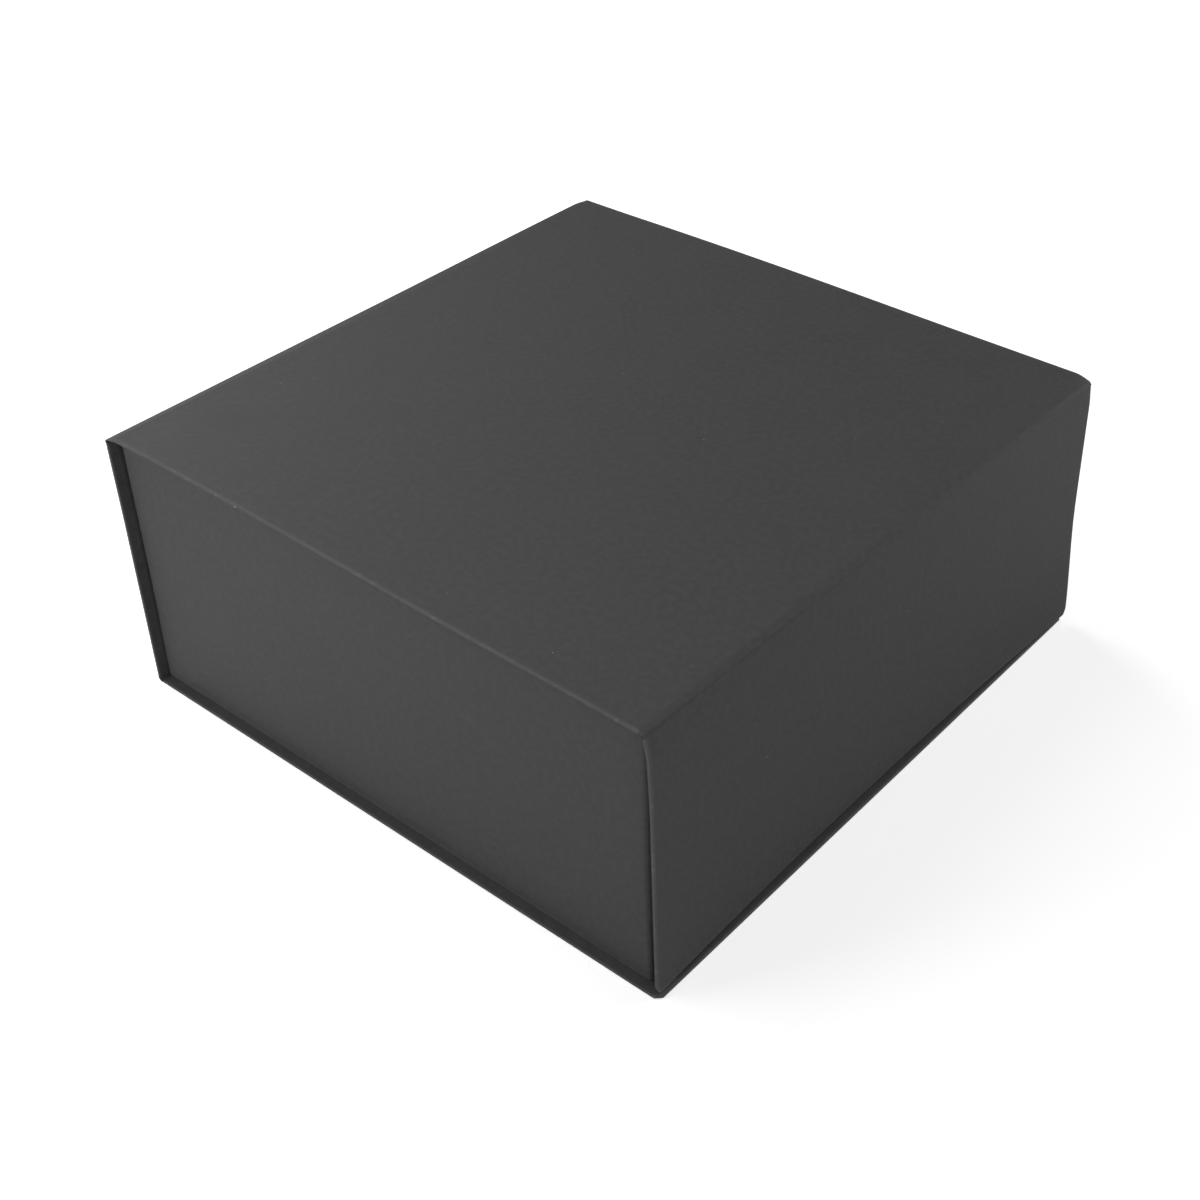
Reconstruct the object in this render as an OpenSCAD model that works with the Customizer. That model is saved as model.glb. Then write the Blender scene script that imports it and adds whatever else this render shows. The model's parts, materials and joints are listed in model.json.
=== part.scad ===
// Book-style rigid presentation box with a magnetic front flap.
// Four wrapped boards (base, spine, lid, flap) joined by paper folds make the
// case. A five-board tray stands on the base and is glued to the spine.
// Millimetres. +Z is up, the flap is at -Y and the spine at +Y.
// The origin is the middle of the underside.

/* [Case] */
// Width of the case, left edge to right edge
case_w = 236; // [160:1:400]
// Depth of the closed case, spine outer face to flap outer face
case_d = 230; // [160:1:400]
// Height of the closed box
case_h = 102; // [60:1:200]
// How far the base runs out in front of the flap
base_lip = 3; // [2:0.5:6]
// How far the case overhangs the tray on each side
overhang = 3.7; // [2:0.1:6]
// Thickness of the greyboard
board_t = 1; // [1:0.1:2]
// Thickness of the covering paper
paper_t = 0.15; // [0.12:0.01:0.25]
// Width of paper turned over onto the inside of a panel
turn_in = 15; // [10:1:20]
// Distance the lining stays back from a free edge
lining_inset = 3; // [2:0.5:6]
// How much is worn off the free corners of the base and the flap
corner_wear = 2; // [0.5:0.5:4]

/* [Folds] */
// Width of the bare paper fold between the lid board and the flap
front_fold = 3.2; // [2:0.1:8]
// Width of the bare paper fold between the spine and the lid board
back_fold = 4; // [3:0.1:8]
// How far the fold paper drops from the lid to the next panel
fold_drop = 0.6; // [0.3:0.1:1]
// Outside radius where the base turns up into the spine
heel_r = 0.8; // [0.6:0.1:2]
// Space between the end of a fold and the panel hung from it
fold_clear = 0.1; // [0.1:0.05:0.3]
// Angle the closed flap stands away from the front wall
flap_standoff = 0.8; // [0:0.1:1.2]
// Height of the flap's foot above the base
foot_clear = 1.4; // [0.5:0.1:3]

/* [Tray] */
// Gap between the seated flap and the front wall
flap_gap = 1.6; // [0.2:0.1:3]
// Gap between the lid lining and the tray's rim
lid_gap = 0.3; // [0.2:0.1:1]
// Width of paper turned under the tray
under_turn = 12; // [8:1:20]
// Radius of the tray's upright corners in plan
corner_r = 2.5; // [2:0.1:8]
// Length of each leg of a corner stay
stay_leg = 20; // [12:1:30]
// Thickness of a corner stay
stay_t = 0.06; // [0.04:0.01:0.08]

/* [Closure] */
// Diameter of the magnets and the steel keeper discs
magnet_d = 12; // [8:0.5:16]
// Thickness of the magnets and the keeper discs
magnet_t = 0.8; // [0.5:0.1:0.8]
// Distance between the two magnets
magnet_spacing = 150; // [60:1:200]
// Height of the magnets above the base
magnet_up = 20; // [12:1:40]
// Radial play of a disc in its pocket
pocket_play = 0.05; // [0.03:0.01:0.1]

/* [Hidden] */
$fn = 64;

cut_over = 0.5; // how far cutting solids overshoot
lining_lap = 0.4; // band where a lining steps down off the turned-in paper
stay_inset = 2; // from each end of the walls' height to a corner stay

// Layers of a panel, measured inward from its outer face
board_inner = paper_t + board_t; // inner face of the board
panel_t = board_inner + paper_t; // with the turned-in paper
lined_t = panel_t + paper_t; // with the lining on top
// A 45-degree corner set in by the paper's thickness has a shorter leg
board_wear = corner_wear - paper_t * (2 - sqrt(2));

// Case positions
y_back = (case_d + base_lip) / 2; // outer face of the spine
y_front = -y_back; // front edge of the base
y_flap = y_back - case_d; // outer face of the seated flap
y_back_joint = y_back - back_fold; // back end of the base and lid boards
y_front_joint = y_flap + front_fold; // front end of the lid board
z_pivot = case_h - fold_drop; // height of both fold lines
z_hang = z_pivot - 2 * paper_t - fold_clear; // top of the spine and of the flap

// Panel lengths along the strip
base_len = y_back_joint - y_front;
spine_len = z_hang - heel_r;
lid_len = y_back_joint - y_front_joint;
flap_len = z_hang - panel_t - foot_clear;

// Tray, over the paper
tray_half_w = case_w / 2 - overhang;
tray_y0 = y_flap + lined_t + flap_gap;
tray_y1 = y_back - lined_t;
tray_z0 = panel_t;
tray_z1 = case_h - lined_t - lid_gap;

// Tray, at the boards' outer faces
wall_half_w = tray_half_w - paper_t;
wall_y0 = tray_y0 + paper_t;
wall_y1 = tray_y1 - paper_t;
wall_z0 = tray_z0 + paper_t;
wall_z1 = tray_z1 - paper_t;
wall_r = corner_r - paper_t;
floor_top = wall_z0 + board_t;

// Closure
z_magnet = panel_t + magnet_up;
pocket_d = magnet_d + 2 * pocket_play;

paper_black = [0.29, 0.295, 0.29];
paper_inside = [0.25, 0.255, 0.25];
grey_board = [0.55, 0.52, 0.47];
tape_white = [0.82, 0.80, 0.75];
steel = [0.72, 0.73, 0.75];
nickel = [0.80, 0.79, 0.76];

// ---- One panel of the case, laid flat -------------------------------------
// X across the case, Y along the strip of panels, Z from the outer face inward.
// free is true when the far end (y = len) is a cut edge and not a fold.

// One flat layer, set in from the sides and from a free end. At folded ends it
// runs over by the given amount. A free end loses its corners, with legs of wear.
module layer(len, free, inset, z0, z1, wear = 0, over = 0) {
    x = case_w / 2 - inset;
    y0 = -over;
    y1 = len + (free ? -inset : over);
    translate([0, 0, z0]) linear_extrude(height = z1 - z0)
        polygon(free && wear > 0
            ? [[-x, y0], [x, y0], [x, y1 - wear], [x - wear, y1],
               [-x + wear, y1], [-x, y1 - wear]]
            : [[-x, y0], [x, y0], [x, y1], [-x, y1]]);
}

module panel_board(len, free) {
    layer(len, free, paper_t, paper_t, board_inner, wear = board_wear);
}

module panel_wrap(len, free) {
    difference() {
        layer(len, free, 0, 0, panel_t, wear = corner_wear);
        // the board
        layer(len, free, paper_t, paper_t, board_inner, wear = board_wear, over = cut_over);
        // the window inside the turned-in paper
        layer(len, free, turn_in, board_inner - cut_over, panel_t + cut_over, over = cut_over);
    }
}

// Fills the window in the turned-in paper and laps over its edge
module panel_lining(len, free) {
    union() {
        layer(len, free, turn_in, board_inner, panel_t);
        difference() {
            layer(len, free, lining_inset, panel_t, lined_t);
            layer(len, free, turn_in + lining_lap, panel_t - cut_over, lined_t + cut_over,
                  over = cut_over);
        }
    }
}

// Where each panel stands
module at_base() { translate([0, y_back_joint, 0]) rotate([0, 0, 180]) children(); }
module at_spine() { translate([0, y_back, heel_r]) rotate([90, 0, 0]) children(); }
module at_lid() { translate([0, y_back_joint, case_h]) rotate([180, 0, 0]) children(); }
module at_flap() {
    translate([0, y_flap, z_pivot]) rotate([-flap_standoff, 0, 0])
        translate([0, 0, z_hang - z_pivot]) rotate([-90, 0, 0]) children();
}

// The two discs or their pockets, with faces at y = 0 and y = depth
module disc_pair(d, depth) {
    for (side = [-1, 1])
        translate([side * magnet_spacing / 2, 0, 0])
            rotate([-90, 0, 0]) cylinder(d = d, h = depth);
}

// ---- Base and spine --------------------------------------------------------

module base_board() { color(grey_board) at_base() panel_board(base_len, true); }

module base_wrap() {
    color(paper_black) union() {
        at_base() panel_wrap(base_len, true);
        // the paper under the open joint, up to the heel
        translate([-case_w / 2, y_back_joint - cut_over, 0])
            cube([case_w, back_fold + cut_over - heel_r, paper_t]);
    }
}

module spine_board() { color(grey_board) at_spine() panel_board(spine_len, false); }

module spine_wrap() {
    color(paper_black) union() {
        at_spine() panel_wrap(spine_len, false);
        // the heel, where the sheet turns up from the base
        translate([-case_w / 2, y_back - heel_r, heel_r])
            rotate([0, 90, 0])
                difference() {
                    intersection() {
                        cylinder(r = heel_r, h = case_w);
                        cube([heel_r, heel_r, case_w]);
                    }
                    translate([0, 0, -cut_over])
                        cylinder(r = heel_r - paper_t, h = case_w + 2 * cut_over);
                }
    }
}

module spine_lining() { color(paper_inside) at_spine() panel_lining(spine_len, false); }

// ---- Lid and its two folds -------------------------------------------------

module lid_board() { color(grey_board) at_lid() panel_board(lid_len, false); }
module lid_wrap() { color(paper_black) at_lid() panel_wrap(lid_len, false); }
module lid_lining() { color(paper_inside) at_lid() panel_lining(lid_len, false); }

// A profile of [y, z] points drawn across the given width
module across(width, points) {
    translate([-width / 2, 0, 0]) rotate([90, 0, 90])
        linear_extrude(height = width) polygon(points);
}

// Outer sheet between the lid board's end at y_lid and the fold line at y_fold
module fold_wrap(y_lid, y_fold) {
    across(case_w, [
        [y_lid, case_h], [y_fold, z_pivot],
        [y_fold, z_pivot - paper_t], [y_lid, case_h - paper_t]
    ]);
}

// Lining sheet over the same fold: it climbs the end of the lid board, then
// lies on the outer sheet
module fold_lining(y_lid, y_fold) {
    y_sheet = y_lid + sign(y_fold - y_lid) * paper_t; // face away from the lid board
    slope = fold_drop / abs(y_fold - y_lid);
    across(case_w - 2 * lining_inset, [
        [y_lid, case_h - paper_t],
        [y_fold, z_pivot - paper_t],
        [y_fold, z_pivot - 2 * paper_t],
        [y_sheet, case_h - 2 * paper_t - slope * paper_t],
        [y_sheet, case_h - panel_t],
        [y_lid, case_h - panel_t]
    ]);
}

module back_fold_wrap() { color(paper_black) fold_wrap(y_back_joint, y_back); }
module back_fold_lining() { color(paper_inside) fold_lining(y_back_joint, y_back); }
module front_fold_wrap() { color(paper_black) fold_wrap(y_front_joint, y_flap); }
module front_fold_lining() { color(paper_inside) fold_lining(y_front_joint, y_flap); }

// ---- Flap ------------------------------------------------------------------

// The disc pair in the flat flap, starting magnet_t below the board's inner face
module flap_discs(d, depth) {
    translate([0, z_hang - z_magnet, board_inner - magnet_t])
        rotate([90, 0, 0]) disc_pair(d, depth);
}

module flap_board() {
    color(grey_board) at_flap() difference() {
        panel_board(flap_len, true);
        // pockets open on the inner face
        flap_discs(pocket_d, magnet_t + cut_over);
    }
}

module flap_wrap() { color(paper_black) at_flap() panel_wrap(flap_len, true); }
module flap_lining() { color(paper_inside) at_flap() panel_lining(flap_len, true); }
module flap_magnets() { color(nickel) at_flap() flap_discs(magnet_d, magnet_t); }

// ---- Tray ------------------------------------------------------------------

// A block with upright rounded edges, from -x to x
module round_block(x, y0, y1, z0, z1, r) {
    height = z1 - z0;
    translate([0, 0, z0]) union() {
        translate([-x + r, y0, 0]) cube([2 * (x - r), y1 - y0, height]);
        translate([-x, y0 + r, 0]) cube([2 * x, y1 - y0 - 2 * r, height]);
        for (corner_x = [-x + r, x - r], corner_y = [y0 + r, y1 - r])
            translate([corner_x, corner_y, 0]) cylinder(r = r, h = height);
    }
}

// The block bounded by the boards' outer faces, grown sideways by grow
module board_block(grow, z0, z1) {
    round_block(wall_half_w + grow, wall_y0 - grow, wall_y1 + grow, z0, z1, wall_r + grow);
}

// The space inside the papered walls
module inner_block(z0, z1) { board_block(-board_t - paper_t, z0, z1); }

module tray_floor() { color(grey_board) board_block(-board_t, wall_z0, floor_top); }

// Walls stop short of the rounded corners
module long_wall(y0) {
    translate([-wall_half_w + wall_r, y0, wall_z0])
        cube([2 * (wall_half_w - wall_r), board_t, wall_z1 - wall_z0]);
}

module side_wall(x0) {
    translate([x0, wall_y0 + wall_r, wall_z0])
        cube([board_t, wall_y1 - wall_y0 - 2 * wall_r, wall_z1 - wall_z0]);
}

module front_wall() {
    color(grey_board) difference() {
        long_wall(wall_y0);
        // pockets open on the outer face
        translate([0, wall_y0 - cut_over, z_magnet]) disc_pair(pocket_d, magnet_t + cut_over);
    }
}

module back_wall() { color(grey_board) long_wall(wall_y1 - board_t); }
module left_wall() { color(grey_board) side_wall(-wall_half_w); }
module right_wall() { color(grey_board) side_wall(wall_half_w - board_t); }

module keeper_discs() {
    color(steel) translate([0, wall_y0, z_magnet]) disc_pair(magnet_d, magnet_t);
}

// A strip of tape bent round each upright corner, on the outside of the walls
module corner_stays() {
    z0 = wall_z0 + stay_inset;
    z1 = wall_z1 - stay_inset;
    depth = wall_y1 - wall_y0;
    cut_h = z1 - z0 + 2 * cut_over;
    color(tape_white) difference() {
        board_block(stay_t, z0, z1);
        board_block(0, z0 - cut_over, z1 + cut_over);
        // between the legs on the front and back
        translate([-wall_half_w + stay_leg, wall_y0 - cut_over, z0 - cut_over])
            cube([2 * (wall_half_w - stay_leg), depth + 2 * cut_over, cut_h]);
        // between the legs on the left and right
        translate([-wall_half_w - cut_over, wall_y0 + stay_leg, z0 - cut_over])
            cube([2 * (wall_half_w + cut_over), depth - 2 * stay_leg, cut_h]);
    }
}

// One sheet: turned under the floor, up the outside, over the rim and down
// the inside to the floor. It bridges the corners, where the walls stop short.
module tray_wrap() {
    color(paper_black) difference() {
        board_block(paper_t, tray_z0, tray_z1);
        inner_block(floor_top, tray_z1 + cut_over);
        // the boards
        board_block(0, wall_z0, floor_top);
        difference() {
            board_block(0, wall_z0, wall_z1);
            board_block(-board_t, wall_z0 - cut_over, wall_z1 + cut_over);
        }
        corner_stays();
        // the window inside the paper turned under
        translate([-tray_half_w + under_turn, tray_y0 + under_turn, tray_z0 - cut_over])
            cube([2 * (tray_half_w - under_turn), tray_y1 - tray_y0 - 2 * under_turn,
                  paper_t + 2 * cut_over]);
    }
}

module floor_lining() { color(paper_inside) inner_block(floor_top, floor_top + paper_t); }

base_board();
spine_board();
base_wrap();
spine_wrap();
spine_lining();
tray_floor();
front_wall();
back_wall();
left_wall();
right_wall();
corner_stays();
tray_wrap();
floor_lining();
keeper_discs();
lid_board();
lid_wrap();
lid_lining();
back_fold_wrap();
back_fold_lining();
front_fold_wrap();
front_fold_lining();
flap_board();
flap_wrap();
flap_lining();
flap_magnets();
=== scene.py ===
"""Paper-covered case with a wrap-round lid and a magnetic front flap.

X runs across the case (left is -X), Y from front (-Y) to back (+Y), Z up from the floor.
Sheets and boards are laid out in millimetres and scaled to metres when meshed;
materials, lights and camera use metres.
"""

import json
import math

import bpy
import numpy as np
from mathutils import Matrix, Vector


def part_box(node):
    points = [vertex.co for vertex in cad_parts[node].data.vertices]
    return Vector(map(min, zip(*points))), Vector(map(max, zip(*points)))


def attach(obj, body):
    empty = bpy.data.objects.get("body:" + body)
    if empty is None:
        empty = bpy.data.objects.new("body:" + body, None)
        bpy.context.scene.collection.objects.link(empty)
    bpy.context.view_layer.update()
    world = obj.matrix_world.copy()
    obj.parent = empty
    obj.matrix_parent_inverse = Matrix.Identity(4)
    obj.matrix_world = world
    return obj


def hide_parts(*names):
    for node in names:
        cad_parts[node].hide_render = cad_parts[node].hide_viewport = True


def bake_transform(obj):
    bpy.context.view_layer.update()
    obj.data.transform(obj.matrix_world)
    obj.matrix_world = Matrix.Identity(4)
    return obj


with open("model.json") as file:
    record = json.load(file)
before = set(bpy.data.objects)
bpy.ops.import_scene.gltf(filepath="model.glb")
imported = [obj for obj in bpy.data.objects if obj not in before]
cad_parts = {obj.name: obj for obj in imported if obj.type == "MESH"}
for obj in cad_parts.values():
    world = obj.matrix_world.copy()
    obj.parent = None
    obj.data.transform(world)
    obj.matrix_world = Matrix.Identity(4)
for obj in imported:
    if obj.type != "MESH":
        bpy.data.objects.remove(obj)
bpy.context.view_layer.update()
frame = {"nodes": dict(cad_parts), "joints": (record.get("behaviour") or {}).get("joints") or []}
nodes = frame["nodes"]

MM = 0.001


# ---------------------------------------------------------------------------
# Sizes read from the CAD, in millimetres
# ---------------------------------------------------------------------------
def span(node):
    lo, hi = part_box(node)
    return [c / MM for c in lo], [c / MM for c in hi]


flap_hinge = {j["name"]: j for j in frame["joints"]}["flap_hinge"]
lid_lo, lid_hi = span("lid_wrap")
tray_lo, tray_hi = span("tray_wrap")
lining_lo, lining_hi = span("floor_lining")
magnet_lo, magnet_hi = span("flap_magnets")

HALF_W = lid_hi[0]
PANEL = lid_hi[2] - lid_lo[2]                    # board with paper on both sides
PAPER = lining_hi[2] - lining_lo[2]
BOARD = PANEL - 2 * PAPER
BOARD_IN = PAPER + BOARD                         # depth of a board's inner face
FOLD = 2 * PAPER                                 # depth where there is only paper
Y_BACK = span("spine_wrap")[1][1]
Y_FRONT = span("base_wrap")[0][1]
Y_FLAP = flap_hinge["pos_m"][1] / MM
Z_PIVOT = flap_hinge["pos_m"][2] / MM
TILT = math.radians(-flap_hinge["range_deg"][0])  # of the flap, from upright
FLAP_LEN = (Z_PIVOT - span("flap_wrap")[0][2] - PANEL * math.sin(TILT)) / math.cos(TILT)
HEEL_R = 1.8                                     # bend from base to spine
TURN = 15.0                                      # paper turned over on to the inside
INSET = 3.0                                      # lining held back from free edges
BOARD_GAP = 0.01                                 # between a board's sides and its paper


def smooth(a, b, v):
    """Smooth step from 0 at a to 1 at b."""
    t = np.clip((np.asarray(v, float) - a) / (b - a), 0, 1)
    return t * t * (3 - 2 * t)


# ---------------------------------------------------------------------------
# The line of the outer face in the YZ plane: base, heel, spine, back fold,
# lid, front fold, flap. Everything on the case is laid along it.
# ---------------------------------------------------------------------------
class Line:
    """Straight runs joined by arcs, measured by length from the first point."""
    ARC_STEPS = 24

    def __init__(self, points, radii):
        prev = np.array(points[0], float)
        step = np.array(points[1], float) - prev
        angle = math.atan2(step[1], step[0])
        stations = [(0.0, prev[0], prev[1], angle)]    # length, y, z, direction
        self.corners = []                              # length at the middle of each arc
        total = 0.0
        for corner, after, radius in zip(points[1:-1], points[2:], radii):
            corner = np.array(corner, float)
            step = np.array(after, float) - corner
            turn = (math.atan2(step[1], step[0]) - angle + math.pi) % (2 * math.pi) - math.pi
            cut = radius * math.tan(abs(turn) / 2)
            run = corner - prev
            start = corner - run / np.linalg.norm(run) * cut
            total += np.linalg.norm(start - prev)
            stations.append((total, start[0], start[1], angle))
            centre = start + radius * np.array([-math.sin(angle), math.cos(angle)])
            arc_start = total
            for q in range(1, self.ARC_STEPS + 1):
                a = angle + turn * q / self.ARC_STEPS
                point = centre - radius * np.array([-math.sin(a), math.cos(a)])
                total = arc_start + radius * abs(turn) * q / self.ARC_STEPS
                stations.append((total, point[0], point[1], a))
            self.corners.append((arc_start + total) / 2)
            angle += turn
            prev = np.array(stations[-1][1:3])
        end = np.array(points[-1], float)
        total += np.linalg.norm(end - prev)
        stations.append((total, end[0], end[1], angle))
        self.s, self.y, self.z, self.angle = np.array(stations).T
        self.length = total

    def at(self, s):
        return (np.interp(s, self.s, self.y), np.interp(s, self.s, self.z),
                np.interp(s, self.s, self.angle))


Z_FOOT = Z_PIVOT - FLAP_LEN * math.cos(TILT)     # lower end of the flap
LINE = Line(
    [(Y_FRONT, 0), (Y_BACK, 0), (Y_BACK, Z_PIVOT), (lid_hi[1], lid_hi[2]),
     (lid_lo[1], lid_hi[2]), (Y_FLAP, Z_PIVOT), (Y_FLAP - FLAP_LEN * math.sin(TILT), Z_FOOT)],
    [HEEL_R, 0.6, 24.0, 9.0, 0.7])
# Distances along the line: corners first, then the ends of the boards
S_HEEL, S_BACK, S_LID0, S_LID1, S_FRONT = LINE.corners
S_END = LINE.length
S_BASE1 = span("base_board")[1][1] - Y_FRONT     # rear end of the base board
S_SPINE0 = S_HEEL + HEEL_R * math.pi / 4
S_SPINE1 = S_BACK - 0.9
S_SEAM = S_LID0 + 2.5                            # where back and front sheets meet
S_FLAP0 = S_FRONT + 0.95


def thickness(s):
    """Depth of the sheet package at s: a whole panel, or only paper in a fold."""
    s = np.asarray(s, float)
    steep = 0.22                                 # paper steps steeply off a board's end
    drape = 3.0                                  # but drapes beside the back fold and heel
    on = 1 - smooth(S_BASE1, S_BASE1 + drape, s)
    on = on + (smooth(S_SPINE0 - steep, S_SPINE0, s)
               * (1 - smooth(S_SPINE1 - steep, S_SPINE1, s)))
    on = on + smooth(S_LID0 - drape, S_LID0, s) * (1 - smooth(S_LID1, S_LID1 + 0.6, s))
    on = on + smooth(S_FLAP0, S_FLAP0 + steep, s)
    return FOLD + (PANEL - FOLD) * on


# Warp of the lid's sides: (fraction of the lid from back to front, rise)
LEFT_WARP = [(0, 1.55), (.05, 1.85), (.1, 2.03), (.2, 2.08), (.3, 1.92), (.4, 1.58),
             (.5, 1.08), (.6, .60), (.7, .34), (.8, .18), (.9, .06), (1, 0)]
RIGHT_WARP = [(0, -.32), (.07, -.2), (.13, .02), (.2, .26), (.3, .48), (.4, .57),
              (.5, .58), (.6, .46), (.7, .28), (.8, .17), (.9, .13), (1, .1)]


def lid_rise(x, s):
    """How far the warped lid stands above the flat one."""
    t = np.clip((s - S_LID0) / (S_LID1 - S_LID0), 0, 1)
    left = np.interp(t, *zip(*LEFT_WARP))
    right = np.interp(t, *zip(*RIGHT_WARP))
    u = np.clip((x + HALF_W) / (2 * HALF_W), 0, 1)
    return left * (1 - u) ** 1.6 + right * u ** 1.6


def bulge(x, s):
    """The back fold and the top of the spine stand out behind, more to the right."""
    up = smooth(S_BACK - 34, S_BACK - 1, s) * (1 - smooth(S_LID0 - 1, S_LID0 + 8, s))
    return up * (0.42 + 0.6 * smooth(0, 95, x)) * (1 - 1.1 * smooth(HALF_W - 6, HALF_W, x))


def flap_out(x, h):
    """How far the warped flap stands out of its plane; h runs 0 to 1 from its top."""
    u = x / HALF_W
    left = (-0.5 + 1.1 * smooth(0, 0.10, h) + 0.5 * smooth(0.08, 0.30, h)
            + 0.15 * smooth(0.85, 1.0, h))
    mid = 0.05 - 0.45 * h
    right = 0.3 + 0.45 * smooth(0, 0.10, h) + 1.9 * smooth(0.5, 1.02, h)
    # parabola through the values at the left edge, near the middle, at the right edge
    mid_u = 0.1
    out = (left * (u - mid_u) * (u - 1) / (2 * (1 + mid_u))
           - mid * (u + 1) * (u - 1) / (1 - mid_u * mid_u)
           + right * (u + 1) * (u - mid_u) / (2 * (1 - mid_u)))
    pinch = 0.45 * np.exp(-(x + HALF_W) / 3.0) * np.exp(-h / 0.045)
    ripple = 0.05 * np.sin(2.3 * u + 5.0 * h) * h
    return out - pinch + ripple


def droop(x, s):
    """The lid's two front corners hang down: sharply on the right, gently on the left."""
    slow = smooth(S_LID1 - 26, S_LID1, s)
    quick = smooth(S_LID1 - 2.4, S_LID1 + 3.0, s)
    return (quick * 0.95 * np.exp(-np.clip(HALF_W - x, 0, None) / 4.5)
            + slow * 0.25 * np.exp(-np.clip(x + HALF_W, 0, None) / 3.5))


def place(x, s, d):
    """Sheet coordinates (across, along, inward) to a point in the frame."""
    x, s, d = np.broadcast_arrays(np.asarray(x, float), np.asarray(s, float),
                                  np.asarray(d, float))
    y, z, angle = LINE.at(s)
    # side edges rolled in a little, and the front fold sunk between its boards
    rolled = np.exp(-np.clip(HALF_W - np.abs(x), 0, None) / 1.0)
    d = d + 0.05 * rolled * np.clip(1 - d / PANEL, 0, 1)
    d = d + 0.36 * np.exp(-((s - (S_FRONT + 0.05)) / 0.45) ** 2)
    y = y - d * np.sin(angle)
    z = z + d * np.cos(angle)
    in_lid = (smooth(S_BACK + 0.2, S_LID0 + 1.5, s)
              * (1 - smooth(S_LID1 - 4, S_LID1 + 1.5, s)))
    z = z + lid_rise(x, s) * in_lid
    y = y + bulge(x, s)
    h = np.clip((s - S_FRONT) / (S_END - S_FRONT), 0, 1)
    y = y - flap_out(x, h) * smooth(S_LID1 - 1.0, S_FRONT - 0.2, s)
    z = z - droop(x, s) * (1 - smooth(0.0, 0.12, h))
    return np.stack([x, y, z], -1)


# ---------------------------------------------------------------------------
# Mesh building
# ---------------------------------------------------------------------------
def mesh_object(name, points, faces, sheet, wear, shade_smooth=True):
    """Object from points in mm, with its sheet coordinates and its edge lightening (rubbed wear
    and painted highlight) as attributes.
    """
    me = bpy.data.meshes.new(name)
    me.from_pydata([tuple(c) for c in (np.asarray(points, float) * MM).tolist()], [], faces)
    me.validate()
    # open borders are paper cuts: they stay crisp when the sheet gets its thickness
    count = {}
    for poly in me.polygons:
        for key in poly.edge_keys:
            count[key] = count.get(key, 0) + 1
    sharp = me.attributes.new("sharp_edge", "BOOLEAN", "EDGE")
    sharp.data.foreach_set("value", [count.get(e.key, 0) == 1 for e in me.edges])
    if shade_smooth:
        me.polygons.foreach_set("use_smooth", [True] * len(me.polygons))
    attribute = me.attributes.new("sheet", "FLOAT_VECTOR", "POINT")
    attribute.data.foreach_set(
        "vector", (np.asarray(sheet, float) * MM).astype(np.float32).ravel())
    attribute = me.attributes.new("wear", "FLOAT", "POINT")
    attribute.data.foreach_set("value", np.asarray(wear, np.float32).ravel())
    me.update()
    ob = bpy.data.objects.new(name, me)
    bpy.context.scene.collection.objects.link(ob)
    return ob


# Columns of vertices: distances in from a side edge, then x across the middle
EDGE_COLS = [0, .25, .7, 1.5, 2.8, 4.5, 7, 10, 12.6]
CENTRE = list(np.arange(-80, 80.1, 8.0))
ARRIS_STEPS = 6


def section(half, r, d0, d1):
    """Closed section of a wrapped panel: outer face left to right, right arris,
    inner face right to left, left arris. Returns x, depth, edge lightening
    (rubbed wear and painted highlight) and the number of columns on a face."""
    edge = half - r
    cols = EDGE_COLS + [TURN - r, TURN - r + .5, 18, 24, 31]
    xs = [-edge + v for v in cols] + CENTRE + [edge - v for v in reversed(cols)]
    arc = [(q / ARRIS_STEPS, math.pi / 2 * q / ARRIS_STEPS) for q in range(ARRIS_STEPS + 1)]
    points = []
    for x in xs:
        # lighter at the arris: rubbed wear and a painted highlight
        near = max(0.0, edge - abs(x))
        wear = math.exp(-near / 0.25)
        # a broader, fainter painted highlight along the right edge only
        if x > 0:
            wear = max(wear, 0.3 * math.exp(-near / 0.9))
        points.append((x, d0, wear))
    # the outer arcs are lightened fully and the inner arcs fade out: a painted highlight on the
    # outer half of each rounded edge, with rubbed wear
    for _, f in arc[1:]:
        points.append((edge + r * math.sin(f), d0 + r - r * math.cos(f), 1.0))
    for t, f in arc[:-1]:
        points.append((edge + r * math.cos(f), d1 - r + r * math.sin(f), 0.5 * (1 - t) ** 2))
    for x in reversed(xs):
        points.append((x, d1, 0.1 * math.exp(-max(0.0, edge - abs(x)) / 0.5)))
    for t, f in arc[1:]:
        points.append((-edge - r * math.sin(f), d1 - r + r * math.cos(f), 0.5 * t ** 2))
    for _, f in arc[:-1]:
        points.append((-edge - r * math.cos(f), d0 + r - r * math.sin(f), 1.0))
    return *np.array(points).T, len(xs)


def along(s0, s1, marks, free0=False, free1=False):
    """Rows from s0 to s1, closer at the marks and at free ends."""
    rows = list(np.linspace(s0, s1, max(2, int((s1 - s0) / 6.5))))
    # closer rows where the top of the flap and the lid's ends are warped most
    rows += list(np.arange(S_FRONT + 3.0, S_FRONT + 36.0, 1.4))
    rows += list(np.arange(S_LID1 - 9.0, S_LID1, 1.4))
    rows += list(np.arange(S_LID0, S_LID0 + 14.0, 1.6))
    near = [0, .05, .11, .17, .22, .3, .42, .6, .85, 1.2, 1.8, 2.7, 4.2]
    for mark in marks:
        rows += [mark + v for v in near] + [mark - v for v in near]
    end = [0, .02, .06, .13, .22, .34, .5, .75, 1.1, 1.6, 2.2, 3, 4, 5.2, 7, 10, 12.6, TURN]
    if free0:
        rows += [s0 + v for v in end]
    if free1:
        rows += [s1 - v for v in end]
    keep = [s0]
    for v in sorted(v for v in rows if s0 <= v <= s1):
        if v - keep[-1] >= 0.019 and s1 - v >= 0.019:
            keep.append(v)
    keep.append(s1)
    return np.array(keep)


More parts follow.
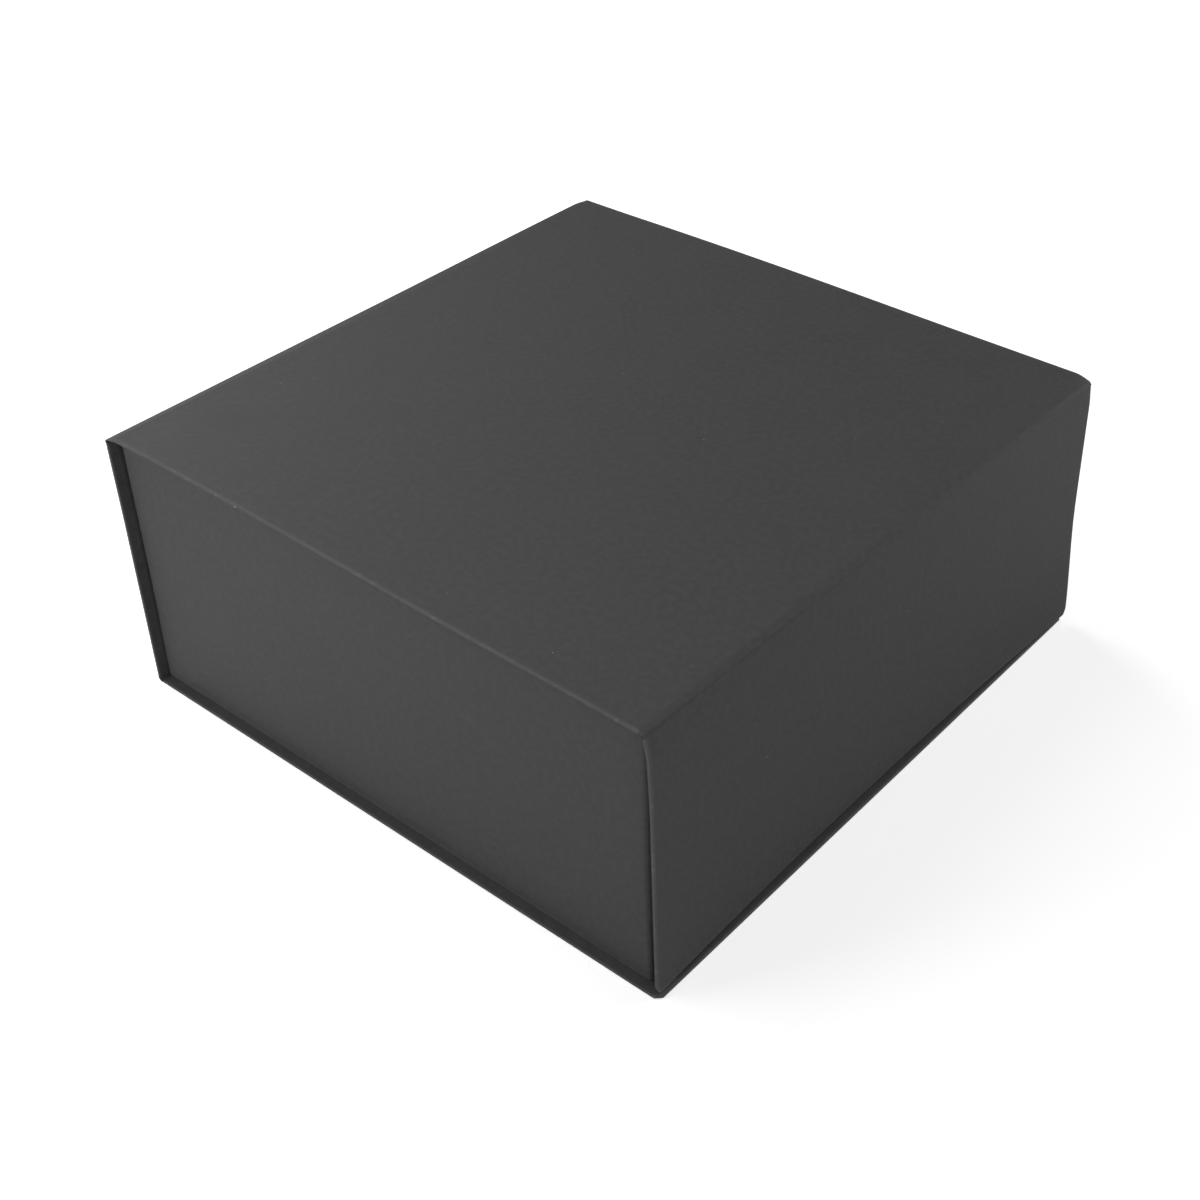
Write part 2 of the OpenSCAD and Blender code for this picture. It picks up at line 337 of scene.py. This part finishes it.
def shell(name, s, width, depths, radius, free0, free1, window):
    """Skin of a panel strip, from half width, outer and inner depth, and arris radius
    at each row. Free ends are rounded and capped; a window leaves the inner face open
    inside the turned-over paper."""
    rows, sheets, wears = [], [], []
    for v in s:
        d0, d1 = depths(v)
        r = radius(v)
        near = 1e9
        if free0:
            near = min(near, v - s[0])
        if free1:
            near = min(near, s[-1] - v)
        if near < r:
            shrink = r - math.sqrt(max(0.0, r * r - (r - near) ** 2))
            d0, d1 = d0 + shrink, d1 - shrink
        x, d, wear, n = section(width(v), min(r, (d1 - d0) / 2 * 0.98), d0, d1)
        rows.append(place(x, v, d))
        sheets.append(np.stack([x, np.full_like(x, v), d], -1))
        # free ends are lightened too: rubbed wear and a painted highlight
        wears.append(np.maximum(wear, math.exp(-max(0.0, near - r) / 0.5)))
    m = len(rows[0])
    inner = n + 2 * ARRIS_STEPS                  # first column of the inner face
    faces = []
    for i in range(len(s) - 1):
        mid = (s[i] + s[i + 1]) / 2
        covered = (free0 and mid - s[0] < TURN) or (free1 and s[-1] - mid < TURN)
        for j in range(m):
            j2 = (j + 1) % m
            if window and not covered and inner <= j < inner + n - 1:
                if max(abs(sheets[i][j, 0]), abs(sheets[i][j2, 0])) <= HALF_W - TURN + 0.05:
                    continue
            a = i * m
            b = a + m
            faces.append((a + j, b + j, b + j2, a + j2))

    def cap(row, flip):
        base = row * m
        ring = [(j, j + 1, inner + n - 2 - j, inner + n - 1 - j) for j in range(n - 1)]
        ring.append(tuple(range(n - 1, inner + 1)))
        ring.append((*range(inner + n - 1, m), 0))
        for face in ring:
            face = tuple(base + v for v in face)
            faces.append(face[::-1] if flip else face)

    if free0:
        cap(0, False)
    if free1:
        cap(len(s) - 1, True)
    return mesh_object(name, np.concatenate(rows), faces,
                       np.concatenate(sheets), np.concatenate(wears))


def weigh(ob):
    """Bake the object's placing into its mesh and read its sheet coordinates, which nothing
    uses.
    """
    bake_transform(ob)
    sheet = np.zeros(len(ob.data.vertices) * 3, np.float32)
    ob.data.attributes["sheet"].data.foreach_get("vector", sheet)


def skin(ob, thick, even=True):
    mod = ob.modifiers.new("paper", "SOLIDIFY")
    mod.thickness = thick * MM
    mod.offset = -1.0
    mod.use_even_offset = even
    mod.use_rim = True


# ---------------------------------------------------------------------------
# Covering sheet, in a back and a front piece
# ---------------------------------------------------------------------------
# Cut across the base's front corners, taken from the base board with its paper
base_points = np.array([v.co for v in nodes["base_board"].data.vertices]) / MM
front_points = base_points[np.abs(base_points[:, 1] - base_points[:, 1].min()) < 0.01]
CUT = HALF_W - front_points[:, 0].max() - PAPER + PAPER * (2 - math.sqrt(2))


def worn_width(s):
    """Half width, with the free corners worn round."""
    w = HALF_W
    if s < 6:
        u = CUT - s
        w = HALF_W - (u + math.sqrt(u * u + 0.12)) / 2
    worn = 3.4                                   # length of wear at the flap's foot
    if S_END - s < worn:
        w = HALF_W - 1.6 * (1 - (S_END - s) / worn) ** 2
    return w


def cover(name, s, free0, free1):
    return shell(name, s, worn_width,
                 depths=lambda v: (0.0, float(thickness(v))),
                 radius=lambda v: min(0.42, float(thickness(v)) * 0.49),
                 free0=free0, free1=free1, window=True)


rows_back = along(0, S_SEAM, [S_BASE1, S_HEEL, S_SPINE0 + .1, S_SPINE1 - .1, S_BACK, S_LID0],
                  free0=True)
cover_back = cover("cover_back", rows_back, True, False)
weigh(cover_back)
rows_front = along(S_SEAM, S_END, [S_LID1, S_FRONT, S_FLAP0 + .1], free1=True)
cover_front = cover("cover_front", rows_front, False, True)
weigh(cover_front)
# an even offset would throw spikes where the tight front fold closes up
skin(cover_back, PAPER)
skin(cover_front, PAPER, even=False)
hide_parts("base_wrap", "spine_wrap", "back_fold_wrap")
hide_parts("lid_wrap", "front_fold_wrap", "flap_wrap")


# ---------------------------------------------------------------------------
# Lining sheet, in a back and a front piece
# ---------------------------------------------------------------------------
# Columns: distances in from the lining's side edge
LINING_COLS = [0, .12, .4, 1, 2.2, 4, 7, 10, 11.6, 11.8, 12.0, 12.2, 12.5, 14, 18, 25, 31]


def over_turn(v, edge):
    """1 where the lining lies on paper turned over from the edge, 0 inside that."""
    return smooth(edge - TURN - 0.45, edge - TURN + 0.05, v)


def lining(name, s, free1):
    half = HALF_W - INSET
    xs = np.array([-half + v for v in LINING_COLS] + CENTRE
                  + [half - v for v in reversed(LINING_COLS)])
    rows, sheets = [], []
    for v in s:
        over = over_turn(np.abs(xs), HALF_W)
        if free1:
            over = np.maximum(over, over_turn(v, S_END))
        d = float(thickness(v)) + PAPER * over
        # tiny round-over of the cut edge
        d = d - 0.05 * np.exp(-(half - np.abs(xs)) / 0.12)
        rows.append(place(xs, v, d))
        sheets.append(np.stack([xs, np.full_like(xs, v), d], -1))
    m = len(xs)
    faces = []
    for i in range(len(s) - 1):
        for j in range(m - 1):
            a = i * m + j
            faces.append((a, a + 1, a + m + 1, a + m))
    sheet = np.concatenate(sheets)
    return mesh_object(name, np.concatenate(rows), faces, sheet, np.zeros(len(sheet)))


rows_back = along(S_SPINE0 + .3, S_SEAM, [S_SPINE1 - .1, S_BACK, S_LID0 + .1])
lining_back = lining("lining_back", rows_back, free1=False)
weigh(lining_back)
rows_front = along(S_SEAM, S_END - INSET, [S_LID1 - .1, S_FRONT, S_FLAP0 + .1, S_END - TURN])
lining_front = lining("lining_front", rows_front, free1=True)
weigh(lining_front)
skin(lining_back, PAPER * 0.96)
skin(lining_front, PAPER * 0.96, even=False)
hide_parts("spine_lining", "back_fold_lining")
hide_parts("lid_lining", "front_fold_lining", "flap_lining")


# ---------------------------------------------------------------------------
# Lid, spine and flap boards, which follow the same bends as the paper
# ---------------------------------------------------------------------------
def board(name, s0, s1, width=lambda s: HALF_W - PAPER - BOARD_GAP):
    return shell(name, along(s0, s1, [], free0=True, free1=True), width,
                 depths=lambda v: (PAPER, BOARD_IN), radius=lambda v: 0.36,
                 free0=True, free1=True, window=False)


lid_board = board("lid_board_bent", S_LID0 + .3, S_LID1 - .3)
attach(lid_board, "lid")
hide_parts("lid_board")

spine_board = board("spine_board_wrapped", S_SPINE0 + .02, S_SPINE1 - .25)
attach(spine_board, "tray")
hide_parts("spine_board")

flap_board = board("flap_board_bent", S_FLAP0 + .3, S_END - PAPER - 0.02,
                   lambda s: worn_width(min(s, S_END - 0.6)) - PAPER - BOARD_GAP)


# ---------------------------------------------------------------------------
# Flap magnets, and their pockets in the flap board
# ---------------------------------------------------------------------------
def disc(name, centre_x, centre_s, d0, d1, radius):
    """A flat disc laid in the sheet between two depths, following its bend."""
    n = 64
    bevel = .12
    points = [place(centre_x, centre_s, d0)]
    sheet = [(centre_x, centre_s, d0)]
    for ring, d in ((radius - bevel, d0), (radius, d0 + bevel),
                    (radius, d1 - bevel), (radius - bevel, d1)):
        for q in range(n):
            t = 2 * math.pi * q / n
            x, s = centre_x + ring * math.cos(t), centre_s + ring * math.sin(t)
            points.append(place(x, s, d))
            sheet.append((x - centre_x, s - centre_s, d))
    points.append(place(centre_x, centre_s, d1))
    sheet.append((centre_x, centre_s, d1))
    faces = []
    for q in range(n):
        q2 = (q + 1) % n
        faces.append((0, 1 + q, 1 + q2))
        for k in range(3):
            a = 1 + k * n
            faces.append((a + q, a + n + q, a + n + q2, a + q2))
        a = 1 + 3 * n
        faces.append((a + q, a + n, a + q2))
    return mesh_object(name, points, faces, sheet, np.zeros(len(sheet)), shade_smooth=False)


MAGNET_R = (magnet_hi[2] - magnet_lo[2]) / 2
MAGNET_T = 0.8
MAGNET_X = magnet_hi[0] - MAGNET_R
MAGNET_S = S_END - ((magnet_hi[2] + magnet_lo[2]) / 2 - Z_FOOT) / math.cos(TILT)
magnets, cutters = [], []
for side, name in ((-1, "flap_magnet_left"), (1, "flap_magnet_right")):
    ob = disc(name, side * MAGNET_X, MAGNET_S, BOARD_IN - MAGNET_T, BOARD_IN - 0.01, MAGNET_R)
    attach(ob, "flap")
    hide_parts("flap_magnets")
    magnets.append(ob)
    cutters.append(disc("cut", side * MAGNET_X, MAGNET_S, BOARD_IN - MAGNET_T - 0.01,
                        BOARD_IN + 0.4, MAGNET_R + 0.06))

for cutter in cutters:
    mod = flap_board.modifiers.new("pocket", "BOOLEAN")
    mod.operation = "DIFFERENCE"
    mod.solver = "EXACT"
    mod.object = cutter
bpy.context.view_layer.update()
depsgraph = bpy.context.evaluated_depsgraph_get()
cut_mesh = bpy.data.meshes.new_from_object(flap_board.evaluated_get(depsgraph))
flap_board.modifiers.clear()
flap_board.data = cut_mesh
for cutter in cutters:
    bpy.data.objects.remove(cutter)
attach(flap_board, "flap")
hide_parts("flap_board")

# ---------------------------------------------------------------------------
# Tray covering: one sheet up the outside, over the rim, down the inside
# ---------------------------------------------------------------------------
TRAY_Z0, TRAY_Z1 = tray_lo[2], tray_hi[2]
TRAY_Y = (tray_lo[1] + tray_hi[1]) / 2
TRAY_HALF = (tray_hi[0], (tray_hi[1] - tray_lo[1]) / 2)   # along x, along y
STAY = 0.06                                      # rise over the corner stays


def tray_profile():
    """(offset out from the outer face, height, edge lightening from rubbed wear and painted
    highlight) from under the floor to the inside.
    """
    r = 0.45
    turns = [math.pi / 2 * q / 6 for q in range(7)]
    rows = [(-v, TRAY_Z0, 0.0) for v in (12, 9, 5, 2, 1.0, .6)]
    # arrises lightened: rubbed wear and a painted highlight
    rows += [(-r + r * math.sin(f), TRAY_Z0 + r - r * math.cos(f), 1.0) for f in turns]
    for z in (TRAY_Z0 + 1.2, TRAY_Z0 + 2.4, TRAY_Z0 + 4.5, TRAY_Z0 + 8):
        rows.append((0, z, math.exp(-(z - TRAY_Z0 - r) / .6)))
    rows += [(0, float(z), 0.0) for z in np.linspace(TRAY_Z0 + 13, TRAY_Z1 - 5, 14)]
    for z in (TRAY_Z1 - 2.6, TRAY_Z1 - 1.4, TRAY_Z1 - .9):
        rows.append((0, z, math.exp(-(TRAY_Z1 - z - r) / .5)))
    rows += [(-r + r * math.cos(f), TRAY_Z1 - r + r * math.sin(f), 1.0) for f in turns]
    rows += [(-PANEL + r - r * math.sin(f), TRAY_Z1 - r + r * math.cos(f), 1.0)
             for f in turns]
    rows += [(-PANEL, float(z), 0.0)
             for z in np.linspace(TRAY_Z1 - 1.2, lining_hi[2] + .35, 14)]
    rows.append((-PANEL, lining_hi[2] + .02, 0.0))
    return rows


def tray_loop(offset, z):
    """Plan loop at one height: the points, and the distance round at each."""
    # upright corners are tighter towards the floor
    outer_r = 1.3 + 1.2 * float(smooth(TRAY_Z0 + 2, TRAY_Z0 + 40, z))
    r = max(outer_r + offset, 0.25)
    stay = STAY if offset > -0.3 else 0.0        # stays show only on the outside
    points, around = [], []
    side_steps, arc_steps = 26, 10
    done = 0.0
    # front, right, back and left sides by their outward normals
    for k, (nx, ny) in enumerate(((0, -1), (1, 0), (0, 1), (-1, 0))):
        tx, ty = -ny, nx
        half, out = TRAY_HALF[k % 2], TRAY_HALF[1 - k % 2] + offset
        run = half + offset - r
        flat = 2 * half - 2 * outer_r
        for q in range(side_steps):
            t = 0.5 - 0.5 * math.cos(math.pi * (q / side_steps))
            from_corner = min(t, 1 - t) * (2 * half - 2 * r) + r
            rise = stay * (1 - float(smooth(19.6, 20.4, from_corner)))
            pos = -run + 2 * run * t
            points.append((nx * (out + rise) + tx * pos, ny * (out + rise) + ty * pos))
            around.append(done + t * flat)
        done += flat
        for q in range(arc_steps):
            f = math.radians(90 * k - 90 + 90 * q / arc_steps)
            points.append((
                (nx + tx) * (TRAY_HALF[0] + offset - r) + (r + stay) * math.cos(f),
                (ny + ty) * (TRAY_HALF[1] + offset - r) + (r + stay) * math.sin(f)))
            around.append(done + q / arc_steps * outer_r * math.pi / 2)
        done += outer_r * math.pi / 2
    return points, around


def build_tray():
    profile = tray_profile()
    points, sheet, wears = [], [], []
    up = 0.0
    last = profile[0][:2]
    for offset, z, wear in profile:
        up += math.hypot(offset - last[0], z - last[1])
        last = (offset, z)
        loop, around = tray_loop(offset, z)
        for (x, y), u in zip(loop, around):
            points.append((x, y + TRAY_Y, z))
            sheet.append((u, up, 0.0))
            wears.append(wear)
    m = len(loop)
    faces = []
    for i in range(len(profile) - 1):
        for j in range(m):
            j2 = (j + 1) % m
            a, b = i * m, (i + 1) * m
            faces.append((a + j, a + j2, b + j2, b + j))
    return mesh_object("tray_cover", points, faces, sheet, wears)


tray_cover = build_tray()
skin(tray_cover, PAPER * 0.97)
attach(tray_cover, "tray")
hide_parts("tray_wrap")

# CAD pieces that stay: a hair of softness on their cut edges
for name, width in (("base_board", .34), ("tray_floor", .1), ("front_wall", .3),
                    ("back_wall", .3), ("left_wall", .3), ("right_wall", .3),
                    ("floor_lining", .04), ("keeper_discs", .1)):
    mod = nodes[name].modifiers.new("soft", "BEVEL")
    mod.width = width * MM
    mod.segments = 3
    mod.limit_method = "ANGLE"
    mod.angle_limit = math.radians(40)
    mod.use_clamp_overlap = True


# ---------------------------------------------------------------------------
# Materials
# ---------------------------------------------------------------------------
def feed(tree, node, inputs):
    """Link sockets and set plain values on a node's inputs."""
    for key, value in inputs.items():
        if isinstance(value, bpy.types.NodeSocket):
            tree.links.new(value, node.inputs[key])
        else:
            node.inputs[key].default_value = value


def add_node(tree, kind, inputs=None, **settings):
    node = tree.nodes.new(kind)
    for key, value in settings.items():
        setattr(node, key, value)
    feed(tree, node, inputs or {})
    return node


def times(color, factor):
    return tuple(c * factor for c in color)


class Shader:
    """A Principled material patterned in sheet or object coordinates."""

    def __init__(self, name, coords):
        self.material = bpy.data.materials.new(name)
        self.material.use_nodes = True
        self.tree = self.material.node_tree
        self.tree.nodes.clear()
        output = self.add("ShaderNodeOutputMaterial")
        self.principled = self.add("ShaderNodeBsdfPrincipled")
        self.tree.links.new(self.principled.outputs[0], output.inputs[0])
        if coords == "sheet":
            source = self.add("ShaderNodeAttribute", attribute_name="sheet")
            self.coords = source.outputs["Vector"]
        else:
            self.coords = self.add("ShaderNodeTexCoord").outputs["Object"]

    def add(self, kind, inputs=None, **settings):
        return add_node(self.tree, kind, inputs, **settings)

    def noise(self, scale, seed, detail=3, rough=0.55, stretch=(1, 1, 1)):
        mapping = self.add("ShaderNodeMapping", {"Vector": self.coords, "Scale": stretch})
        return self.add("ShaderNodeTexNoise", {
            "W": seed, "Scale": scale, "Detail": detail, "Roughness": rough,
            "Vector": mapping.outputs[0]}, noise_dimensions="4D").outputs["Fac"]

    def ramp(self, value, low, high, to_low=0.0, to_high=1.0):
        return self.add("ShaderNodeMapRange", {
            "From Min": low, "From Max": high, "To Min": to_low, "To Max": to_high,
            "Value": value}, interpolation_type="SMOOTHSTEP").outputs["Result"]

    def math(self, operation, a, b):
        return self.add("ShaderNodeMath", {0: a, 1: b}, operation=operation).outputs[0]

    def mix(self, mask, a, b):
        a, b = ((*c, 1) if isinstance(c, tuple) else c for c in (a, b))
        return self.add("ShaderNodeMix", {0: mask, 6: a, 7: b}, data_type="RGBA").outputs[2]

    def tint(self, color, mask, amount, to):
        """Move a colour part of the way to another where the mask is set."""
        return self.mix(self.math("MULTIPLY", mask, amount), color, to)

    def bump(self, height, distance, below=None):
        inputs = {"Distance": distance, "Height": height}
        if below is not None:
            inputs["Normal"] = below
        return self.add("ShaderNodeBump", inputs).outputs[0]

    def surface(self, inputs):
        feed(self.tree, self.principled, inputs)
        return self.material


def dark_paper(name, coords, base, nick=None, worn=True):
    """Uncoated dark paper; nick is the sheet place of a pale spot; worn turns on the paler
    edges, which are partly rubbed wear and partly painted highlight.
    """
    m = Shader(name, coords)
    fibre = m.noise(scale=2600, seed=1, detail=4, rough=0.62, stretch=(1, 0.55, 1))
    grain = m.noise(scale=700, seed=2, rough=0.6)
    cloud = m.noise(scale=55, seed=3, detail=4)
    broad = m.noise(scale=9, seed=4, detail=2, rough=0.5)
    color = m.mix(m.ramp(cloud, low=0.3, high=0.7), times(base, 0.955), times(base, 1.045))
    color = m.tint(color, m.ramp(fibre, low=0.35, high=0.75), amount=0.22,
                   to=times(base, 1.55))
    mottle = m.noise(scale=430, seed=5, detail=2, rough=0.5)
    color = m.tint(color, m.ramp(mottle, low=0.38, high=0.66), amount=0.42,
                   to=times(base, 1.42))
    color = m.tint(color, m.ramp(broad, low=0.35, high=0.7), amount=0.08,
                   to=times(base, 1.35))
    # dust: sparse, tiny, pale
    specks = m.add("ShaderNodeTexVoronoi",
                   {"Scale": 230, "Randomness": 1.0, "Vector": m.coords})
    pick = m.noise(scale=190, seed=9, detail=1, rough=0.4)
    dust = m.math("MULTIPLY", m.ramp(specks.outputs["Distance"], low=0.07, high=0.03),
                  m.ramp(pick, low=0.62, high=0.68))
    color = m.tint(color, dust, amount=0.55, to=(0.30, 0.30, 0.29))
    # faint rubbed patches
    patches = m.noise(scale=26, seed=6, detail=5, rough=0.7, stretch=(1, 2.2, 1))
    rub = m.ramp(patches, low=0.60, high=0.78)
    color = m.tint(color, rub, amount=0.09, to=times(base, 1.8))
    if worn:
        # paler along the edges, unevenly: partly rubbed wear, partly a painted highlight on the
        # rounded arrises
        edge_unevenness = m.ramp(m.noise(scale=420, seed=7, detail=4, rough=0.65), low=0.50, high=0.72)
        wear = m.add("ShaderNodeAttribute", attribute_name="wear").outputs["Fac"]
        edge = m.math("MULTIPLY", wear, m.math("ADD", 0.36, m.math("MULTIPLY", edge_unevenness, 0.5)))
        color = m.mix(edge, color, times(base, 2.6))
    if nick is not None:
        distance = m.add("ShaderNodeVectorMath", {0: m.coords, 1: nick},
                         operation="DISTANCE").outputs["Value"]
        ragged = m.noise(scale=1500, seed=8, detail=2, rough=0.5)
        rim = m.math("ADD", distance, m.math("MULTIPLY", ragged, 0.0008))
        color = m.mix(m.ramp(rim, low=0.00110, high=0.00070), color, (0.27, 0.26, 0.24))
    rough = m.ramp(cloud, low=0.25, high=0.75, to_low=0.65, to_high=0.71)
    rough = m.math("SUBTRACT", rough, m.math("MULTIPLY", rub, 0.08))
    normal = m.bump(cloud, distance=0.00003)
    normal = m.bump(grain, distance=0.000035, below=normal)
    normal = m.bump(fibre, distance=0.000018, below=normal)
    return m.surface({
        "Base Color": color, "Roughness": rough, "Specular IOR Level": 0.30,
        # the nap of uncoated paper catches light at a grazing angle
        "Sheen Weight": 0.02, "Sheen Roughness": 0.3, "Normal": normal})


def greyboard_material():
    m = Shader("greyboard", "object")
    fibre = m.noise(scale=900, seed=1, detail=5, rough=0.65, stretch=(1, 0.4, 1))
    fleck = m.ramp(m.noise(scale=1500, seed=2, detail=2, rough=0.6), low=0.66, high=0.74)
    cloud = m.noise(scale=60, seed=3, rough=0.5)
    color = m.mix(m.ramp(fibre, low=0.3, high=0.7), (0.20, 0.18, 0.145), (0.31, 0.28, 0.235))
    color = m.tint(color, m.ramp(cloud, low=0.3, high=0.7), amount=0.3,
                   to=(0.25, 0.235, 0.205))
    color = m.tint(color, fleck, amount=0.6, to=(0.07, 0.075, 0.09))
    return m.surface({
        "Base Color": color,
        "Roughness": m.ramp(cloud, low=0.2, high=0.8, to_low=0.82, to_high=0.95),
        "Normal": m.bump(fibre, distance=0.00005)})


def tape_material():
    m = Shader("stay_tape", "object")
    fibre = m.noise(scale=1200, seed=1, detail=4, rough=0.6, stretch=(1, 1, 0.3))
    cloud = m.noise(scale=90, seed=2, rough=0.5)
    color = m.mix(m.ramp(fibre, low=0.3, high=0.7), (0.55, 0.52, 0.45), (0.70, 0.67, 0.59))
    color = m.tint(color, m.ramp(cloud, low=0.4, high=0.7), amount=0.25,
                   to=(0.50, 0.45, 0.36))
    return m.surface({
        "Base Color": color,
        "Roughness": m.ramp(cloud, low=0.2, high=0.8, to_low=0.70, to_high=0.85),
        "Normal": m.bump(fibre, distance=0.00003)})


def metal_material(name, coords, dark, light, smoothest, roughest, stretch=(1, 1, 1)):
    m = Shader(name, coords)
    brush = m.noise(scale=1600, seed=1, rough=0.6, stretch=stretch)
    stain = m.noise(scale=160, seed=2, detail=4, rough=0.6)
    color = m.mix(m.ramp(brush, low=0.3, high=0.7), dark, light)
    color = m.tint(color, m.ramp(stain, low=0.55, high=0.75), amount=0.35,
                   to=times(dark, 0.6))
    return m.surface({
        "Base Color": color, "Metallic": 1.0,
        "Roughness": m.ramp(stain, low=0.3, high=0.7, to_low=smoothest, to_high=roughest),
        "Normal": m.bump(brush, distance=0.00001)})


COVER = (0.0388, 0.0393, 0.0388)
INSIDE = (0.034, 0.0352, 0.0345)
# a small nick on the lid's left edge: across, along the sheet, depth, in metres
NICK = (-HALF_W * MM + 0.0001, (S_LID0 + 61.3) * MM, 0.0011)

cover_mat = dark_paper("cover_paper", "sheet", COVER, nick=NICK)
tray_mat = dark_paper("cover_paper_tray", "sheet", COVER)
lining_mat = dark_paper("lining_paper", "sheet", INSIDE, worn=False)
floor_lining_mat = dark_paper("lining_paper_floor", "object", INSIDE, worn=False)
board_mat = greyboard_material()
tape_mat = tape_material()
steel_mat = metal_material("keeper_steel", "object", dark=(0.42, 0.43, 0.44),
                           light=(0.58, 0.58, 0.58), smoothest=0.28, roughest=0.45,
                           stretch=(1, 1, 12))
nickel_mat = metal_material("magnet_nickel", "sheet", dark=(0.58, 0.56, 0.52),
                            light=(0.70, 0.68, 0.64), smoothest=0.15, roughest=0.3)

boards = [nodes[n] for n in ("base_board", "tray_floor", "front_wall", "back_wall",
                             "left_wall", "right_wall")]
boards += [spine_board, lid_board, flap_board]
for slot, material, pieces in (
        ("cover_paper", cover_mat, (cover_back, cover_front)),
        ("cover_paper", tray_mat, (tray_cover,)),
        ("lining_paper", lining_mat, (lining_back, lining_front)),
        ("lining_paper", floor_lining_mat, (nodes["floor_lining"],)),
        ("greyboard", board_mat, boards),
        ("stay_tape", tape_mat, (nodes["corner_stays"],)),
        ("keeper_steel", steel_mat, (nodes["keeper_discs"],)),
        ("magnet_nickel", nickel_mat, magnets)):
    for ob in pieces:
        ob.data.materials.clear()
        ob.data.materials.append(material)


# ---------------------------------------------------------------------------
# Floor
# ---------------------------------------------------------------------------
FLOOR_HALF = 6.0
FLOOR_Z = -0.00005                               # just under the case

floor_mesh = bpy.data.meshes.new("floor")
floor_mesh.from_pydata([(x * FLOOR_HALF, y * FLOOR_HALF, FLOOR_Z)
                        for x, y in ((-1, -1), (1, -1), (1, 1), (-1, 1))],
                       [], [(0, 1, 2, 3)])
floor = bpy.data.objects.new("floor", floor_mesh)
bpy.context.scene.collection.objects.link(floor)


def floor_material():
    """White, with light of its own for the camera only, so that the shadow stays pale."""
    material = bpy.data.materials.new("floor_white")
    material.use_nodes = True
    tree = material.node_tree
    rays = add_node(tree, "ShaderNodeLightPath")
    # more of it far out, where the lamps fall away
    geometry = add_node(tree, "ShaderNodeNewGeometry")
    distance = add_node(tree, "ShaderNodeVectorMath", {0: geometry.outputs["Position"]},
                        operation="LENGTH")
    strength = add_node(tree, "ShaderNodeMapRange", {
        "From Min": 0.55, "From Max": 1.60, "To Min": 0.50, "To Max": 0.98,
        "Value": distance.outputs["Value"]})
    glow = add_node(tree, "ShaderNodeMath", {
        0: rays.outputs["Is Camera Ray"], 1: strength.outputs["Result"]},
        operation="MULTIPLY")
    feed(tree, tree.nodes["Principled BSDF"], {
        "Base Color": (0.86, 0.86, 0.86, 1), "Roughness": 0.9, "Specular IOR Level": 0.1,
        "Emission Color": (1, 1, 1, 1), "Emission Strength": glow.outputs[0]})
    return material


floor_mesh.materials.append(floor_material())


# ---------------------------------------------------------------------------
# World and lights
# ---------------------------------------------------------------------------
def build_world():
    """White to the camera; seen in soft reflections more than as light."""
    world = bpy.data.worlds.new("studio")
    bpy.context.scene.world = world
    world.use_nodes = True
    tree = world.node_tree
    tree.nodes.clear()
    rays = add_node(tree, "ShaderNodeLightPath")
    in_gloss, as_light = 0.22, 0.02              # added in reflections, everywhere
    room = add_node(tree, "ShaderNodeMath", {
        0: rays.outputs["Is Glossy Ray"], 1: in_gloss, 2: as_light},
        operation="MULTIPLY_ADD")
    strength = add_node(tree, "ShaderNodeMath", {
        0: room.outputs[0], 1: rays.outputs["Is Camera Ray"]}, operation="MAXIMUM")
    background = add_node(tree, "ShaderNodeBackground", {
        "Color": (1, 1, 1, 1), "Strength": strength.outputs[0]})
    add_node(tree, "ShaderNodeOutputWorld", {0: background.outputs[0]})


build_world()
scene = bpy.context.scene
AIM = (0, 0, 0.05)
# Square lamps: name, position, side, watts
LAMPS = [
    ("left_low", (-0.45, 0.2, 0.2), 0.25, 0.89),
    ("left_front", (-1.0, -0.35, 0.5), 0.6, 1.65),
    ("front_left", (-0.5, -0.8, 0.6), 0.6, 3.3),
    ("right", (0.8, -0.45, 0.4), 0.6, 4.5),
    ("back", (0.2, 1.1, 0.8), 0.8, 6.5),
    ("top", (-0.1, 0.3, 0.6), 0.5, 1.6),
]
for name, position, size, watts in LAMPS:
    lamp = bpy.data.lights.new(name, "AREA")
    lamp.shape = "SQUARE"
    lamp.size = size
    lamp.energy = watts
    ob = bpy.data.objects.new(name, lamp)
    ob.location = position
    ob.rotation_mode = "QUATERNION"
    ob.rotation_quaternion = (Vector(AIM) - Vector(position)).to_track_quat("-Z", "Y")
    scene.collection.objects.link(ob)

scene.view_settings.view_transform = "Standard"
scene.view_settings.look = "None"
scene.view_settings.exposure = 0.0
scene.view_settings.gamma = 1.0

# ---------------------------------------------------------------------------
# Camera: circles the target, from the front left and above
# ---------------------------------------------------------------------------
AZIMUTH = math.radians(-50.26)                   # from straight in front
ELEVATION = math.radians(36.30)
ROLL = math.radians(-0.39)
TARGET = np.array([-1.15, -21.96, 46.0]) * MM
DISTANCE = 617.3 * MM

camera_data = bpy.data.cameras.new("camera")
camera = bpy.data.objects.new("camera", camera_data)
scene.collection.objects.link(camera)
backward = np.array([math.sin(AZIMUTH) * math.cos(ELEVATION),
                     -math.cos(AZIMUTH) * math.cos(ELEVATION), math.sin(ELEVATION)])
level = np.cross(-backward, (0, 0, 1.0))
level /= np.linalg.norm(level)
down = np.cross(level, backward)
cam_right = math.cos(ROLL) * level - math.sin(ROLL) * down
cam_down = math.sin(ROLL) * level + math.cos(ROLL) * down
pose = Matrix.Identity(4)
for column, vector in enumerate((cam_right, -cam_down, backward,
                                 TARGET + backward * DISTANCE)):
    for row in range(3):
        pose[row][column] = vector[row]
camera.matrix_world = pose
camera_data.sensor_width = 36.0
camera_data.lens = 53.79
camera_data.shift_x = -0.0525
camera_data.shift_y = -0.0242
camera_data.clip_start = 0.01
camera_data.clip_end = 50
scene.camera = camera
